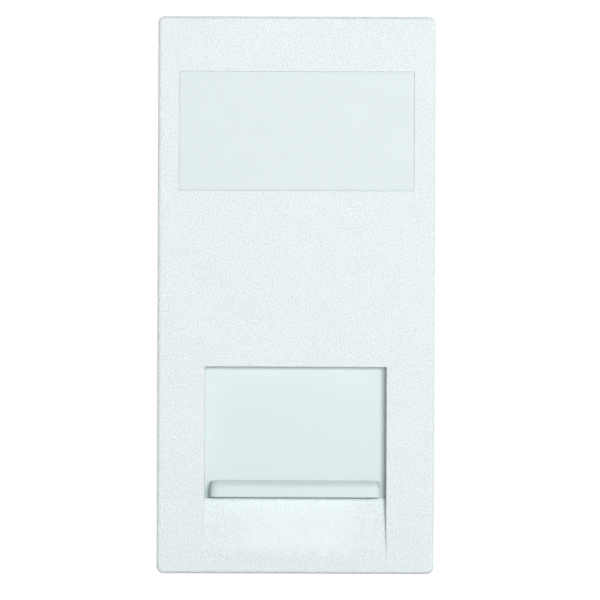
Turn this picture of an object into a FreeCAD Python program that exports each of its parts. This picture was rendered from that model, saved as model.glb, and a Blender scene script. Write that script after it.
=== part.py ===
# Master telephone socket module, 25 by 50 mm class, in millimetres.
# X runs to the right seen from the front, Y runs back into the wall and Z runs up.
# The origin is the middle of the seat, the plane at the back of the rim that rests on the frame.
import FreeCAD, Part
import math
import operator
import os
from types import SimpleNamespace

import Sketcher
from FreeCAD import Vector

SIZES = {
    # Face and its rim
    "face_width": 24.9,
    "face_height": 50.0,
    "face_proud": 3.2,
    "face_corner_radius": 0.6,
    "face_edge_radius": 0.35,
    "front_wall": 1.25,
    "rim_wall": 1.4,
    # Box behind the face, with a rebate at its back for the board
    "box_width": 22.5,
    "box_end_inset": 3.3,
    "box_corner_radius": 1.2,
    "box_back_chamfer": 0.5,
    "box_wall": 2.0,
    "board_ledge": 0.6,
    "board_seat_depth": 14.5,
    "board_thickness": 1.6,
    "board_clearance": 0.1,
    "board_catch_width": 7.0,
    "board_catch_overlap": 0.7,
    "board_catch_thickness": 1.2,
    "board_catch_chamfer": 0.5,
    # Arms that snap into the frame's opening
    "frame_lap": 1.1,
    "frame_grip": 2.5,
    "snap_arm_width": 9.0,
    "snap_arm_thickness": 1.2,
    "snap_arm_length": 8.5,
    "snap_barb_height": 0.9,
    "snap_barb_length": 5.0,
    # Label plate
    "label_width": 21.1,
    "label_height": 10.68,
    "label_top_margin": 4.95,
    "label_thickness": 0.6,
    "label_setback": 0.06,
    "label_clearance": 0.012,
    "label_peg_width": 1.6,
    "label_peg_spacing": 10.0,
    "push_fit": 0.02,
    # Window, ramp and shutter
    "window_width": 16.35,
    "window_height": 11.85,
    "window_bottom_margin": 6.71,
    "ramp_length": 5.51,
    "ramp_depth": 0.98,
    "ramp_radius": 40.0,
    "shutter_thickness": 1.25,
    "shutter_overlap": 1.28,
    "shutter_play": 0.15,
    "shutter_travel": 10.0,
    "rail_width": 1.0,
    "rail_thickness": 1.0,
    "rail_spare": 0.6,
    "lip_width": 15.28,
    "lip_height": 1.47,
    "lip_rise": 0.12,
    "lip_proud": 0.42,
    "lip_slope_height": 0.42,
    "lip_slope_depth": 0.62,
    "lip_slope_radius": 0.6,
    "lip_end_radius": 0.7,
    "lip_corner_radius": 0.35,
    "lip_edge_radius": 0.15,
    # Return spring
    "spring_wire": 0.3,
    "spring_mean_diameter": 3.6,
    "spring_turns": 5.0,
    "spring_clearance": 0.3,
    "spring_peg_diameter": 2.4,
    "spring_peg_gap": 1.5,
    "spring_lug_height": 2.0,
    "spring_lug_width": 5.4,
    "spring_shelf_inset": 6.36,
    "spring_shelf_thickness": 1.4,
    "spring_shelf_width": 7.0,
    # Jack
    "throat_width": 11.2,
    "throat_height": 7.2,
    "throat_step": 1.73,
    "throat_lead_in": 0.6,
    "jack_wall": 0.9,
    "jack_roof": 1.2,
    "jack_floor": 2.4,
    "jack_back_wall": 1.5,
    "jack_flange_thickness": 1.3,
    "jack_flange_clearance": 0.15,
    "latch_channel_width": 2.0,
    "latch_channel_height": 4.2,
    "latch_wing_depth": 11.0,
    "jack_peg_diameter": 1.8,
    "jack_peg_spacing": 4.8,
    "jack_peg_reach": 0.8,
    # Line contacts
    "contact_pitch": 1.27,
    "contact_width": 0.5,
    "contact_thickness": 0.35,
    "contact_slot_clearance": 0.12,
    "contact_slot_depth": 1.75,
    "contact_front_wall": 1.1,
    "contact_bend_radius": 0.6,
    "contact_rise": 2.6,
    "contact_arm_length": 7.2,
    "contact_tip_length": 1.5,
    "contact_tip_drop": 0.8,
    "retainer_length": 2.5,
    "retainer_width": 8.6,
    # Terminals
    "terminal_spacing": 14.4,
    "terminal_rise": 4.96,
    "terminal_pitch": 4.4,
    "terminal_block_width": 5.0,
    "terminal_block_length": 14.0,
    "terminal_block_depth": 8.6,
    "wire_slot_width": 1.1,
    "wire_slot_depth": 4.6,
    "wire_slot_mouth": 2.2,
    "wire_slot_lead_in": 1.0,
    "tower_gap_width": 0.8,
    "tower_gap_depth": 3.0,
    "blade_width": 2.6,
    "blade_thickness": 0.4,
    "blade_length": 6.8,
    "blade_angle": 45.0,
    "blade_clearance": 0.06,
    "blade_fork_width": 0.36,
    "blade_fork_mouth": 0.9,
    "blade_fork_depth": 3.6,
    "blade_shoulder": 0.5,
    "blade_tail_width": 0.8,
    "lead_reach": 1.0,
    "hole_clearance": 0.3,
    # Components on the board's front
    "capacitor_width": 17.5,
    "capacitor_height": 8.5,
    "capacitor_depth": 10.2,
    "capacitor_edge_radius": 0.6,
    "capacitor_edge_chamfer": 0.3,
    "capacitor_inset": 12.1,
    "capacitor_lead_spacing": 15.0,
    "capacitor_lead_diameter": 0.8,
    "arrester_diameter": 5.2,
    "arrester_length": 6.0,
    "arrester_cap_diameter": 5.5,
    "arrester_cap_thickness": 0.8,
    "arrester_inset": 4.5,
    "arrester_lead_diameter": 0.8,
    "arrester_lead_spacing": 8.8,
    "resistor_diameter": 2.0,
    "resistor_end_diameter": 2.4,
    "resistor_length": 6.0,
    "resistor_end_length": 1.1,
    "resistor_inset": 18.7,
    "resistor_lead_diameter": 0.6,
    "resistor_lead_spacing": 7.62,
    "component_standoff": 0.2,
    # Screws that hold the board
    "boss_spacing": 14.4,
    "boss_inset": 2.2,
    "boss_diameter": 5.0,
    "screw_core_diameter": 1.75,
    "screw_length": 7.0,
    "screw_head_diameter": 4.0,
    "screw_head_height": 1.4,
    "screw_recess_width": 0.6,
    "screw_recess_length": 2.2,
    "screw_recess_depth": 0.8,
    "screw_hole_diameter": 2.6,
    "pilot_clearance": 0.05,
    "pilot_spare_depth": 1.0,
}

doc = FreeCAD.newDocument("telephone_socket")
sheet = doc.addObject("Spreadsheet::Sheet", "Sizes")
for row, (alias, number) in enumerate(SIZES.items(), 1):
    sheet.set(f"A{row}", alias)
    sheet.set(f"B{row}", str(number))
    sheet.setAlias(f"B{row}", alias)
doc.recompute()


class Size:
    """A number worked out from the sheet, kept with the expression that ties it there."""

    def __init__(self, value, text=None):
        self.value = float(value)
        self.text = text or f"({self.value:.9g})"

    def __add__(self, other):
        return combine("+", operator.add, self, other)

    def __radd__(self, other):
        return combine("+", operator.add, other, self)

    def __sub__(self, other):
        return combine("-", operator.sub, self, other)

    def __rsub__(self, other):
        return combine("-", operator.sub, other, self)

    def __mul__(self, other):
        return combine("*", operator.mul, self, other)

    def __rmul__(self, other):
        return combine("*", operator.mul, other, self)

    def __truediv__(self, other):
        return combine("/", operator.truediv, self, other)

    def __neg__(self):
        return combine("*", operator.mul, self, -1)


def tied(number):
    """A Size as it is, or a plain number as a Size."""
    return number if isinstance(number, Size) else Size(number)


def combine(sign, work, left, right):
    left, right = tied(left), tied(right)
    return Size(work(left.value, right.value), f"({left.text} {sign} {right.text})")


def turned(length, angle):
    """The two parts of a length along the axes, once it is turned by an angle in degrees."""
    along = Size(math.cos(math.radians(angle.value)), f"cos({angle.text} * 1 deg)")
    across = Size(math.sin(math.radians(angle.value)), f"sin({angle.text} * 1 deg)")
    return length * along, length * across


def about(centre, width):
    """The two ends of a width laid evenly about a centre."""
    return centre - width / 2, centre + width / 2


S = SimpleNamespace(**{alias: Size(getattr(sheet, alias), f"Sizes.{alias}") for alias in SIZES})


# Drawing in sketches

PLANES = {"front": "XZ_Plane", "side": "YZ_Plane", "level": "XY_Plane"}
FACING = {"front": -1, "side": 1, "level": 1}


def spot(point):
    return Vector(tied(point[0]).value, tied(point[1]).value, 0)


def hold(sketch, kind, size, *where):
    """A dimension in a sketch, tied to the sheet."""
    size = tied(size)
    number = sketch.addConstraint(Sketcher.Constraint(kind, *where, size.value))
    sketch.setExpression(f"Constraints[{number}]", size.text)


def pin(sketch, geometry, point, place):
    hold(sketch, "DistanceX", place[0], -1, 1, geometry, point)
    hold(sketch, "DistanceY", place[1], -1, 1, geometry, point)


def draw_run(sketch, points):
    """Straight lines from point to point."""
    lines = [
        sketch.addGeometry(Part.LineSegment(spot(start), spot(end)), False)
        for start, end in zip(points, points[1:])
    ]
    for line, point in zip(lines, points):
        pin(sketch, line, 1, point)
    pin(sketch, lines[-1], 2, points[-1])
    for line, after in zip(lines, lines[1:]):
        sketch.addConstraint(Sketcher.Constraint("Coincident", line, 2, after, 1))
    return lines


def draw_polygon(sketch, points):
    lines = draw_run(sketch, points)
    closing = sketch.addGeometry(Part.LineSegment(spot(points[-1]), spot(points[0])), False)
    sketch.addConstraint(Sketcher.Constraint("Coincident", lines[-1], 2, closing, 1))
    sketch.addConstraint(Sketcher.Constraint("Coincident", closing, 2, lines[0], 1))


def draw_bowed(sketch, points, radius):
    """An outline that an arc closes, bowed to the left of the way from the last point to the first."""
    lines = draw_run(sketch, points)
    start, end = spot(points[-1]), spot(points[0])
    chord = end - start
    rise = radius.value - math.sqrt(radius.value**2 - (chord.Length / 2) ** 2)
    middle = (start + end) / 2 + Vector(-chord.y, chord.x, 0).normalize() * rise
    bow = sketch.addGeometry(Part.Arc(start, middle, end), False)
    near, far = sorted((1, 2), key=lambda point: (sketch.getPoint(bow, point) - start).Length)
    sketch.addConstraint(Sketcher.Constraint("Coincident", lines[-1], 2, bow, near))
    sketch.addConstraint(Sketcher.Constraint("Coincident", lines[0], 1, bow, far))
    hold(sketch, "Radius", radius, bow)


def draw_octagon(sketch, centre, diameter):
    """A small round with eight sides, which keeps the mesh light."""
    corners = [turned(diameter / 2, tied(22.5 + 45 * step)) for step in range(8)]
    draw_polygon(sketch, [(centre[0] + across, centre[1] + up) for across, up in corners])


def draw_rectangle(sketch, across, up):
    corners = [(across[0], up[0]), (across[1], up[0]), (across[1], up[1]), (across[0], up[1])]
    draw_polygon(sketch, corners)


def draw_rounded(sketch, across, up, radius):
    """A rectangle with round corners: four arcs about pinned centres, and lines tangent to them."""
    left, right = across[0] + radius, across[1] - radius
    low, high = up[0] + radius, up[1] - radius
    centres = [(left, low), (right, low), (right, high), (left, high)]
    first = sketch.GeometryCount
    ends = []
    for quarter, centre in enumerate(centres):
        start = math.pi + quarter * math.pi / 2
        circle = Part.Circle(spot(centre), Vector(0, 0, 1), radius.value)
        arc = Part.ArcOfCircle(circle, start, start + math.pi / 2)
        sketch.addGeometry(arc, False)
        ends.append((arc.StartPoint, arc.EndPoint))
    for quarter in range(4):
        sketch.addGeometry(Part.LineSegment(ends[quarter][1], ends[(quarter + 1) % 4][0]), False)
    for quarter, centre in enumerate(centres):
        arc, line = first + quarter, first + 4 + quarter
        pin(sketch, arc, 3, centre)
        hold(sketch, "Radius", radius, arc)
        sketch.addConstraint(Sketcher.Constraint("Tangent", arc, 2, line, 1))
        sketch.addConstraint(Sketcher.Constraint("Tangent", line, 2, first + (quarter + 1) % 4, 1))


def draw_circle(sketch, centre, diameter):
    first = sketch.GeometryCount
    sketch.addGeometry(Part.Circle(spot(centre), Vector(0, 0, 1), diameter.value / 2), False)
    pin(sketch, first, 3, centre)
    hold(sketch, "Diameter", diameter, first)


def draw_path(sketch, points, radius):
    """Straight runs through the points, with a tangent arc of one radius at each turn."""
    places = [spot(point) for point in points]
    starts, stops, arcs = [places[0]], [], []
    for before, corner, after in zip(places, places[1:], places[2:]):
        back, ahead = (before - corner).normalize(), (after - corner).normalize()
        half = back.getAngle(ahead) / 2
        reach = radius.value / math.tan(half)
        middle = corner + (back + ahead).normalize() * (radius.value / math.sin(half) - radius.value)
        stops.append(corner + back * reach)
        starts.append(corner + ahead * reach)
        arcs.append(Part.Arc(stops[-1], middle, starts[-1]))
    stops.append(places[-1])
    runs = [sketch.addGeometry(Part.LineSegment(a, b), False) for a, b in zip(starts, stops)]
    pin(sketch, runs[0], 1, points[0])
    pin(sketch, runs[-1], 2, points[-1])
    for index, arc in enumerate(arcs):
        corner = points[index + 1]
        mark = sketch.addGeometry(Part.Point(spot(corner)), True)
        pin(sketch, mark, 1, corner)
        bend = sketch.addGeometry(arc, False)
        near, far = sorted((1, 2), key=lambda end: (sketch.getPoint(bend, end) - stops[index]).Length)
        sketch.addConstraint(Sketcher.Constraint("PointOnObject", mark, 1, runs[index]))
        sketch.addConstraint(Sketcher.Constraint("PointOnObject", mark, 1, runs[index + 1]))
        sketch.addConstraint(Sketcher.Constraint("Tangent", runs[index], 2, bend, near))
        sketch.addConstraint(Sketcher.Constraint("Tangent", runs[index + 1], 1, bend, far))
        hold(sketch, "Radius", radius, bend)


# Building pieces

kept = []


def keep(label, shape_object):
    """Name a finished sub-part and list it for export."""
    shape_object.Label = label
    kept.append(shape_object)
    return shape_object


class Piece:
    """A body whose sketches and features are all tied to the sheet."""

    def __init__(self, label):
        self.body = doc.addObject("PartDesign::Body", label)

    def sketch(self, plane, place):
        """An empty sketch across Y (front), X (side) or Z (level), at a place along that axis."""
        flat = next(f for f in self.body.Origin.OriginFeatures if f.Role == PLANES[plane])
        sketch = self.body.newObject("Sketcher::SketchObject", "Sketch")
        sketch.AttachmentSupport = (flat, [""])
        sketch.MapMode = "FlatFace"
        sketch.setExpression("AttachmentOffset.Base.z", (tied(place) * FACING[plane]).text)
        return sketch

    def feature(self, kind, sketch, length):
        """A Pad along the sketch's own normal, or a Pocket against it."""
        before = self.body.Shape.Volume if self.body.Tip else 0
        made = self.body.newObject(f"PartDesign::{kind}", kind)
        made.Profile = sketch
        made.setExpression("Length", tied(length).text)
        doc.recompute()
        change = self.body.Shape.Volume - before
        if (change > 0) != (kind == "Pad") or abs(change) < 1e-6:
            raise RuntimeError(f"{self.body.Name}: {made.Name} changed the volume by {change}")

    def block(self, x, y, z, radius=None):
        sketch = self.sketch("front", y[1])
        self.outline(sketch, x, z, radius)
        self.feature("Pad", sketch, y[1] - y[0])

    def cut(self, x, y, z, radius=None):
        sketch = self.sketch("front", y[0])
        self.outline(sketch, x, z, radius)
        self.feature("Pocket", sketch, y[1] - y[0])

    def outline(self, sketch, x, z, radius):
        if radius is None:
            draw_rectangle(sketch, x, z)
        else:
            draw_rounded(sketch, x, z, radius)

    def prism(self, x, *outlines):
        """Side outlines, as points of Y and Z, carried along X."""
        sketch = self.sketch("side", x[0])
        for points in outlines:
            draw_polygon(sketch, points)
        self.feature("Pad", sketch, x[1] - x[0])

    def cut_prism(self, x, *outlines):
        sketch = self.sketch("side", x[1])
        for points in outlines:
            draw_polygon(sketch, points)
        self.feature("Pocket", sketch, x[1] - x[0])

    def cut_columns(self, y, *outlines):
        """Outlines seen from the front, as points of X and Z, cut along Y."""
        sketch = self.sketch("front", y[0])
        for points in outlines:
            draw_polygon(sketch, points)
        self.feature("Pocket", sketch, y[1] - y[0])

    def posts(self, spots, diameter, y, draw=draw_circle):
        sketch = self.sketch("front", y[1])
        for place in spots:
            draw(sketch, place, diameter)
        self.feature("Pad", sketch, y[1] - y[0])

    def bores(self, spots, diameter, y, draw=draw_circle):
        sketch = self.sketch("front", y[0])
        for place in spots:
            draw(sketch, place, diameter)
        self.feature("Pocket", sketch, y[1] - y[0])

    def stem(self, centre, diameter, z):
        """An upright round peg about a centre of X and Y."""
        sketch = self.sketch("level", z[0])
        draw_circle(sketch, centre, diameter)
        self.feature("Pad", sketch, z[1] - z[0])

    def dress(self, kind, size_name, size, chosen):
        """A Fillet or Chamfer on the edges that the test chooses."""
        edges = self.body.Shape.Edges
        names = [f"Edge{number}" for number, edge in enumerate(edges, 1) if chosen(edge.BoundBox)]
        if not names:
            raise RuntimeError(f"{self.body.Name}: no edge for its {kind}")
        base = self.body.Tip
        made = self.body.newObject(f"PartDesign::{kind}", kind)
        made.Base = (base, names)
        made.setExpression(size_name, tied(size).text)
        doc.recompute()

    def fillet(self, radius, chosen):
        self.dress("Fillet", "Radius", radius, chosen)

    def chamfer(self, size, chosen):
        self.dress("Chamfer", "Size", size, chosen)

    def revolve(self, plane, axis, points):
        sketch = self.sketch(plane, 0)
        draw_polygon(sketch, points)
        made = self.body.newObject("PartDesign::Revolution", "Revolution")
        made.Profile = sketch
        made.ReferenceAxis = (sketch, [axis])
        made.Angle = 360
        doc.recompute()

    def pipe(self, path, section):
        """A section carried along a drawn path, with mitred corners."""
        doc.recompute()
        made = self.body.newObject("PartDesign::AdditivePipe", "Pipe")
        made.Profile = section
        made.Spine = (path, [f"Edge{number}" for number in range(1, len(path.Shape.Edges) + 1)])
        made.Transition = "Right corner"
        doc.recompute()

    def place(self, x, y, z, angle=None):
        """Move the whole body, after turning it about its own Y."""
        for axis, size in zip("xyz", (x, y, z)):
            self.body.setExpression(f"Placement.Base.{axis}", tied(size).text)
        if angle is not None:
            self.body.Placement.Rotation.Axis = Vector(0, 1, 0)
            self.body.setExpression("Placement.Rotation.Axis.x", "0")
            self.body.setExpression("Placement.Rotation.Axis.y", "1")
            self.body.setExpression("Placement.Rotation.Axis.z", "0")
            self.body.setExpression("Placement.Rotation.Angle", angle.text)
        doc.recompute()


def at(value, low, high):
    """Whether a stretch of an edge's box lies at one value."""
    return abs(low - value.value) < 1e-4 and abs(high - value.value) < 1e-4


def pair(label, piece):
    """A piece and its mirror image across the middle, as one group of two solids."""
    mirrored = doc.addObject("Part::Mirroring", label + "_mirrored")
    mirrored.Source = piece.body
    mirrored.Normal = Vector(1, 0, 0)
    group = doc.addObject("Part::Compound", label)
    group.Links = [piece.body, mirrored]
    doc.recompute()
    return keep(label, group)


# Places that several pieces share

face_half_width = S.face_width / 2
face_half_height = S.face_height / 2
front = -S.face_proud
wall_back = front + S.front_wall
box_half_width = S.box_width / 2
box_half_height = face_half_height - S.box_end_inset
cavity_half_width = box_half_width - S.box_wall
cavity_half_height = box_half_height - S.box_wall
rebate_half_width = cavity_half_width + S.board_ledge
rebate_half_height = cavity_half_height + S.board_ledge
board_front = S.board_seat_depth
board_back = board_front + S.board_thickness
board_half_width = rebate_half_width - S.board_clearance
board_half_height = rebate_half_height - S.board_clearance

label_top = face_half_height - S.label_top_margin
label_bottom = label_top - S.label_height
label_middle = (label_top + label_bottom) / 2
label_front = front + S.label_setback
label_floor = label_front + S.label_thickness
label_peg_places = [side * S.label_peg_spacing / 2 for side in (-1, 1)]

window_half_width = S.window_width / 2
sill_top = S.window_bottom_margin - face_half_height
window_top = sill_top + S.window_height

plate_front = wall_back + S.shutter_play
plate_back = plate_front + S.shutter_thickness
shutter_half_width = cavity_half_width - S.shutter_play
shutter_top = window_top + S.shutter_overlap

spring_outer_radius = (S.spring_mean_diameter + S.spring_wire) / 2
spring_axis = wall_back + S.spring_clearance + spring_outer_radius
spring_back = spring_axis + spring_outer_radius + S.spring_clearance
shelf_bottom = cavity_half_height - S.spring_shelf_inset
spring_length = shelf_bottom - shutter_top
spring_peg_length = (spring_length - S.shutter_travel - S.spring_peg_gap) / 2

jack_front = plate_back + S.shutter_play
throat_floor = sill_top + S.throat_step
throat_roof = throat_floor + S.throat_height
throat_half_width = S.throat_width / 2
throat_end = board_front - S.jack_back_wall
jack_half_width = throat_half_width + S.jack_wall
jack_top = throat_roof + S.jack_roof
jack_bottom = throat_floor - S.jack_floor
throat_middle = (throat_floor + throat_roof) / 2
jack_pegs = [(side * S.jack_peg_spacing / 2, throat_middle) for side in (-1, 1)]

contact_places = [S.contact_pitch * (number - 2.5) for number in range(6)]
contact_slot_floor = throat_floor - S.contact_slot_depth
contact_run = contact_slot_floor + S.contact_thickness / 2
contact_top = contact_slot_floor + S.contact_thickness
contact_slot_front = jack_front + S.contact_front_wall
contact_bend = contact_slot_front + S.contact_thickness
retainer_front = throat_end - S.retainer_length

terminal_middle = throat_middle + S.terminal_rise
terminal_places = [
    (side * S.terminal_spacing / 2, terminal_middle + S.terminal_pitch * step)
    for side in (-1, 1)
    for step in (1, 0, -1)
]

capacitor_middle = cavity_half_height - S.capacitor_inset
arrester_middle = cavity_half_height - S.arrester_inset
resistor_middle = cavity_half_height - S.resistor_inset
boss_middle = cavity_half_height - S.boss_inset
bosses = [(side * S.boss_spacing / 2, boss_middle) for side in (-1, 1)]
lead_end = board_back + S.lead_reach


def make_face_moulding():
    piece = Piece("face_moulding")
    piece.block(about(0, S.face_width), (front, tied(0)), about(0, S.face_height), S.face_corner_radius)
    piece.fillet(S.face_edge_radius, lambda box: at(front, box.YMin, box.YMax))
    rim_hollow = about(0, S.face_width - 2 * S.rim_wall), about(0, S.face_height - 2 * S.rim_wall)
    piece.cut(rim_hollow[0], (wall_back, tied(0)), rim_hollow[1])

    # Box, its hollow and the rebate that the board lies in
    box = about(0, S.box_width), about(0, 2 * box_half_height)
    piece.block(box[0], (wall_back, board_back), box[1], S.box_corner_radius)
    piece.chamfer(S.box_back_chamfer, lambda edge: at(board_back, edge.YMin, edge.YMax))
    hollow = about(0, 2 * cavity_half_width), about(0, 2 * cavity_half_height)
    piece.cut(hollow[0], (wall_back, board_back), hollow[1])
    rebate = about(0, 2 * rebate_half_width), about(0, 2 * rebate_half_height)
    piece.cut(rebate[0], (board_front, board_back), rebate[1])

    # Sill behind the ramp, and the rails that keep the shutter against the front wall above the jack
    piece.block(hollow[0], (wall_back, jack_front), (-cavity_half_height, sill_top))
    rail_up = jack_top + S.jack_flange_clearance, shutter_top + S.shutter_travel + S.rail_spare
    for side in (-1, 1):
        ends = side * (cavity_half_width - S.rail_width), side * cavity_half_width
        across = sorted(ends, key=lambda end: end.value)
        piece.block(across, (jack_front, jack_front + S.rail_thickness), rail_up)

    # Window and the finger ramp below it
    window = about(0, S.window_width)
    piece.cut(window, (front, wall_back), (sill_top, window_top))
    clear_of_face = front - S.face_proud
    ramp_bottom = sill_top - S.ramp_length
    ramp_back = front + S.ramp_depth
    ramp = [
        (ramp_back, sill_top),
        (ramp_back, sill_top + S.ramp_depth),
        (clear_of_face, sill_top + S.ramp_depth),
        (clear_of_face, ramp_bottom),
        (front, ramp_bottom),
    ]
    sketch = piece.sketch("side", window[1])
    draw_bowed(sketch, ramp, S.ramp_radius)
    piece.feature("Pocket", sketch, S.window_width)

    # Recess and peg holes for the label plate
    recess_across = about(0, S.label_width + 2 * S.label_clearance)
    recess_up = label_bottom - S.label_clearance, label_top + S.label_clearance
    piece.cut(recess_across, (front, label_floor), recess_up)
    hole = S.label_peg_width + 2 * S.push_fit
    for place in label_peg_places:
        piece.cut(about(place, hole), (label_floor, wall_back), about(label_middle, hole))

    # Shelf and peg at the fixed end of the spring
    shelf = shelf_bottom, shelf_bottom + S.spring_shelf_thickness
    piece.block(about(0, S.spring_shelf_width), (wall_back, spring_back), shelf)
    hanging = shelf_bottom - spring_peg_length, shelf_bottom
    piece.stem((tied(0), spring_axis), S.spring_peg_diameter, hanging)

    # Screw bosses
    piece.posts(bosses, S.boss_diameter, (wall_back, board_front))
    pilot_end = board_back - S.screw_length - S.pilot_spare_depth
    pilot = S.screw_core_diameter + 2 * S.pilot_clearance
    piece.bores(bosses, pilot, (pilot_end, board_front))

    # Snap arms, each with a barb that starts one frame thickness behind the seat
    arm_outer = face_half_height - S.frame_lap
    for side in (-1, 1):
        outer, inner = side * arm_outer, side * (arm_outer - S.snap_arm_thickness)
        arm = [
            (wall_back, inner),
            (S.snap_arm_length, inner),
            (S.snap_arm_length, outer),
            (S.frame_grip + S.snap_barb_length, outer),
            (S.frame_grip, side * (arm_outer + S.snap_barb_height)),
            (S.frame_grip, outer),
            (wall_back, outer),
        ]
        piece.prism(about(0, S.snap_arm_width), arm)

    # Catch that the board's lower edge is tucked under
    catch_back = board_back + S.board_catch_thickness
    catch_foot = S.box_back_chamfer - box_half_height
    catch_tip = S.board_catch_overlap - board_half_height
    catch = [
        (board_back, catch_foot),
        (catch_back, catch_foot + S.board_catch_chamfer),
        (catch_back, catch_tip - S.board_catch_chamfer),
        (catch_back - S.board_catch_chamfer, catch_tip),
        (board_back + S.push_fit, catch_tip),
        (board_back + S.push_fit, -rebate_half_height),
        (board_back, -rebate_half_height),
    ]
    piece.prism(about(0, S.board_catch_width), catch)
    keep("face_moulding", piece.body)


def make_label_plate():
    piece = Piece("label_plate")
    piece.block(about(0, S.label_width), (label_front, label_floor), (label_bottom, label_top))
    for place in label_peg_places:
        peg = about(place, S.label_peg_width), about(label_middle, S.label_peg_width)
        piece.block(peg[0], (label_floor, wall_back), peg[1])
    keep("label_plate", piece.body)


def make_shutter():
    piece = Piece("shutter")
    piece.block(about(0, 2 * shutter_half_width), (plate_front, plate_back), (sill_top, shutter_top))

    # Finger lip: its top slopes to the front, its ends are round and its bottom edge is crisp
    lip_front = front - S.lip_proud
    lip_bottom = sill_top + S.lip_rise
    lip_top = lip_bottom + S.lip_height
    slope_foot, slope_back = lip_top - S.lip_slope_height, lip_front + S.lip_slope_depth
    lip = [
        (plate_front, lip_bottom),
        (lip_front, lip_bottom),
        (lip_front, slope_foot),
        (slope_back, lip_top),
        (plate_front, lip_top),
    ]
    lip_ends = about(0, S.lip_width)
    piece.prism(lip_ends, lip)
    piece.fillet(S.lip_slope_radius, lambda box: at(slope_foot, box.ZMin, box.ZMax))
    for end in lip_ends:
        piece.fillet(
            S.lip_end_radius,
            lambda box: at(end, box.XMin, box.XMax) and box.YMax < slope_back.value + 1e-3,
        )
    piece.fillet(
        S.lip_edge_radius,
        lambda box: at(lip_bottom, box.ZMin, box.ZMax) and box.YMin < plate_front.value - 1e-3,
    )
    for side, end in zip((-1, 1), lip_ends):
        corner = [
            (end - side * S.lip_corner_radius, lip_top),
            (end, lip_top),
            (end, lip_top - S.lip_corner_radius),
        ]
        sketch = piece.sketch("front", lip_front)
        draw_bowed(sketch, corner[::-side], S.lip_corner_radius)
        piece.feature("Pocket", sketch, plate_front - lip_front)

    # Lug and peg at the moving end of the spring
    lug = shutter_top - S.spring_lug_height, shutter_top
    piece.block(about(0, S.spring_lug_width), (plate_front, spring_back), lug)
    standing = shutter_top, shutter_top + spring_peg_length
    piece.stem((tied(0), spring_axis), S.spring_peg_diameter, standing)
    keep("shutter", piece.body)


def make_shutter_spring():
    coil = doc.addObject("Part::Helix", "spring_line")
    inner_length = spring_length - S.spring_wire
    coil.setExpression("Pitch", (inner_length / S.spring_turns).text)
    coil.setExpression("Height", inner_length.text)
    coil.setExpression("Radius", (S.spring_mean_diameter / 2).text)
    section = doc.addObject("Part::RegularPolygon", "spring_section")
    section.Polygon = 4
    section.setExpression("Circumradius", (S.spring_wire / 2).text)
    section.setExpression("Placement.Base.x", (S.spring_mean_diameter / 2).text)
    section.setExpression("Placement.Rotation.Axis.x", "1")
    section.setExpression("Placement.Rotation.Axis.y", "0")
    section.setExpression("Placement.Rotation.Axis.z", "0")
    section.setExpression("Placement.Rotation.Angle", "90")
    doc.recompute()
    spring = doc.addObject("Part::Sweep", "shutter_spring")
    spring.Sections = [section]
    spring.Spine = (coil, [f"Edge{number}" for number in range(1, len(coil.Shape.Edges) + 1)])
    spring.Solid = True
    spring.Frenet = True
    spring.setExpression("Placement.Base.y", spring_axis.text)
    spring.setExpression("Placement.Base.z", (shutter_top + S.spring_wire / 2).text)
    doc.recompute()
    keep("shutter_spring", spring)


def make_jack_housing():
    piece = Piece("jack_housing")
    piece.block(about(0, 2 * jack_half_width), (jack_front, board_front), (jack_bottom, jack_top))
    flange_half = cavity_half_width - S.jack_flange_clearance
    flange_back = jack_front + S.jack_flange_thickness
    flange_bottom = S.jack_flange_clearance - cavity_half_height
    flange_up = flange_bottom, jack_top
    piece.block(about(0, 2 * flange_half), (jack_front, flange_back), flange_up)

    # Wing that carries the latch channel on the right of the throat
    latch_edge = throat_half_width + S.latch_channel_width
    latch = about(throat_middle, S.latch_channel_height)
    wing = throat_half_width, latch_edge + S.jack_wall
    wing_up = latch[0] - S.jack_wall, latch[1] + S.jack_wall
    piece.block(wing, (jack_front, S.latch_wing_depth), wing_up)

    # Throat, latch channel and the lead-in round the throat's mouth
    piece.cut(about(0, S.throat_width), (jack_front, throat_end), (throat_floor, throat_roof))
    piece.cut((tied(0), latch_edge), (jack_front, S.latch_wing_depth - S.jack_wall), latch)
    lead_in_edges = throat_half_width, throat_roof

    def at_mouth(box):
        across = at(-lead_in_edges[0], box.XMin, box.XMax) or at(lead_in_edges[1], box.ZMin, box.ZMax)
        return at(jack_front, box.YMin, box.YMax) and across

    piece.chamfer(S.throat_lead_in, at_mouth)

    # Contact slots along the floor, and the seat of the bar that holds the contacts down
    slot = S.contact_width + 2 * S.contact_slot_clearance
    sketch = piece.sketch("front", contact_slot_front)
    for place in contact_places:
        draw_rectangle(sketch, about(place, slot), (contact_slot_floor, throat_floor))
    piece.feature("Pocket", sketch, board_front - contact_slot_front)
    piece.cut(about(0, S.retainer_width), (retainer_front, throat_end), (contact_top, throat_floor))
    peg_end = board_back + S.jack_peg_reach
    piece.posts(jack_pegs, S.jack_peg_diameter, (board_front, peg_end), draw_octagon)
    keep("jack_housing", piece.body)


def make_contact(number, across):
    """A strip that runs along its slot, turns back at the front and rises into the throat."""
    piece = Piece(f"line_contact_{number}")
    section = piece.sketch("front", lead_end)
    draw_rectangle(section, about(across, S.contact_width), (contact_slot_floor, contact_top))
    turn = throat_floor
    crown = contact_bend + S.contact_arm_length, turn + S.contact_rise
    tip = crown[0] + S.contact_tip_length, crown[1] - S.contact_tip_drop
    points = [(lead_end, contact_run), (contact_bend, contact_run), (contact_bend, turn), crown, tip]
    path = piece.sketch("side", across)
    draw_path(path, points, S.contact_bend_radius)
    piece.pipe(path, section)
    keep(f"line_contact_{number}", piece.body)


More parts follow.
